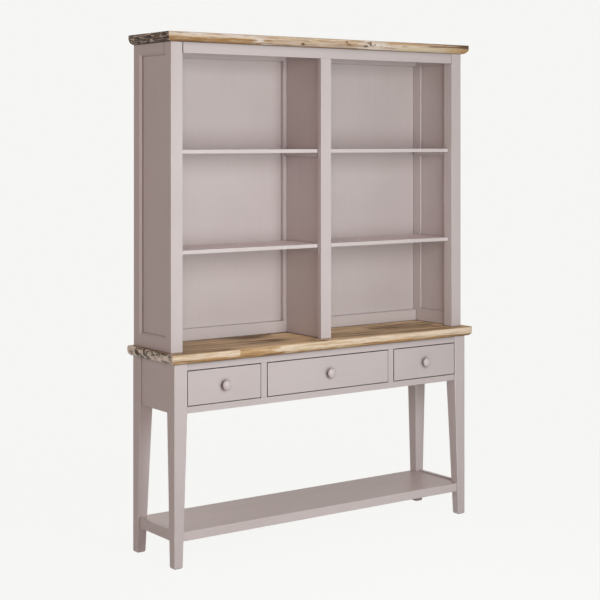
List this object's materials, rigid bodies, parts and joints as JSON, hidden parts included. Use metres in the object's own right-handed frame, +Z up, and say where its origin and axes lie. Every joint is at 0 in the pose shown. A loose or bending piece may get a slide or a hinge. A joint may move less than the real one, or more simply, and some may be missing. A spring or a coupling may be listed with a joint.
{
  "type": "console table with hutch",
  "caption": "Narrow console table with drawers in its frieze, a low shelf between tapered legs, and a tall open-fronted shelved hutch with a moulded wooden cornice.",
  "frame": {"origin": "on the floor, at the middle of the whole object's width and depth", "axes": "+Z up, +X towards the right end seen from the front, +Y towards the back"},
  "size_m": [1.488, 0.341, 2],
  "materials": {
    "paint": "satin dusky pink-grey paint over wood",
    "knob_paint": "satin dusky pink-grey paint on a turned wooden knob",
    "top_wood": "streaky brown hardwood planks with a pale limed finish on the edges",
    "cornice_wood": "streaky brown hardwood with a pale limed finish on the edges",
    "bare_wood": "plain planed wood",
    "dowel_wood": "plain turned wood",
    "steel": "zinc-plated steel"
  },
  "bodies": {
    "console_with_hutch": {"apron_back": "paint", "apron_left": "paint", "apron_right": "paint", "back_bottom_rail": "paint", "back_centre_stile": "paint", "back_panel": "paint", "back_top_rail": "paint", "centre_post": "paint", "cornice": "cornice_wood", "drawer_kickers": "bare_wood", "drawer_runners": "bare_wood", "drawer_stile_left": "paint", "drawer_stile_right": "paint", "frieze_bottom_rail": "paint", "frieze_top_rail": "paint", "hutch_divider": "paint", "hutch_dowels": "dowel_wood", "hutch_post_left": "paint", "hutch_post_right": "paint", "hutch_top_rail": "paint", "leg_back_left": "paint", "leg_back_right": "paint", "leg_front_left": "paint", "leg_front_right": "paint", "lower_shelf_board": "paint", "lower_shelf_end_rail_left": "paint", "lower_shelf_end_rail_right": "paint", "shelf_cleats": "paint", "shelf_lower_left": "paint", "shelf_lower_right": "paint", "shelf_upper_left": "paint", "shelf_upper_right": "paint", "side_bottom_rail_left": "paint", "side_bottom_rail_right": "paint", "side_panel_left": "paint", "side_panel_right": "paint", "side_stile_left": "paint", "side_stile_right": "paint", "side_top_rail_left": "paint", "side_top_rail_right": "paint", "table_top": "top_wood", "top_fixing_screws": "steel"},
    "drawer_left": {"drawer_left_front": "paint", "drawer_left_sides": "bare_wood", "drawer_left_back": "bare_wood", "drawer_left_bottom": "bare_wood", "drawer_left_knob": "knob_paint", "drawer_left_knob_screw": "steel"},
    "drawer_middle": {"drawer_middle_front": "paint", "drawer_middle_sides": "bare_wood", "drawer_middle_back": "bare_wood", "drawer_middle_bottom": "bare_wood", "drawer_middle_knob": "knob_paint", "drawer_middle_knob_screw": "steel"},
    "drawer_right": {"drawer_right_front": "paint", "drawer_right_sides": "bare_wood", "drawer_right_back": "bare_wood", "drawer_right_bottom": "bare_wood", "drawer_right_knob": "knob_paint", "drawer_right_knob_screw": "steel"}
  },
  "joints": [
    {"name": "drawer_left_slide", "type": "slide", "parent": "console_with_hutch", "child": "drawer_left", "axis": [0, -1, 0], "range_m": [0, 0.2]},
    {"name": "drawer_middle_slide", "type": "slide", "parent": "console_with_hutch", "child": "drawer_middle", "axis": [0, -1, 0], "range_m": [0, 0.2]},
    {"name": "drawer_right_slide", "type": "slide", "parent": "console_with_hutch", "child": "drawer_right", "axis": [0, -1, 0], "range_m": [0, 0.2]}
  ]
}
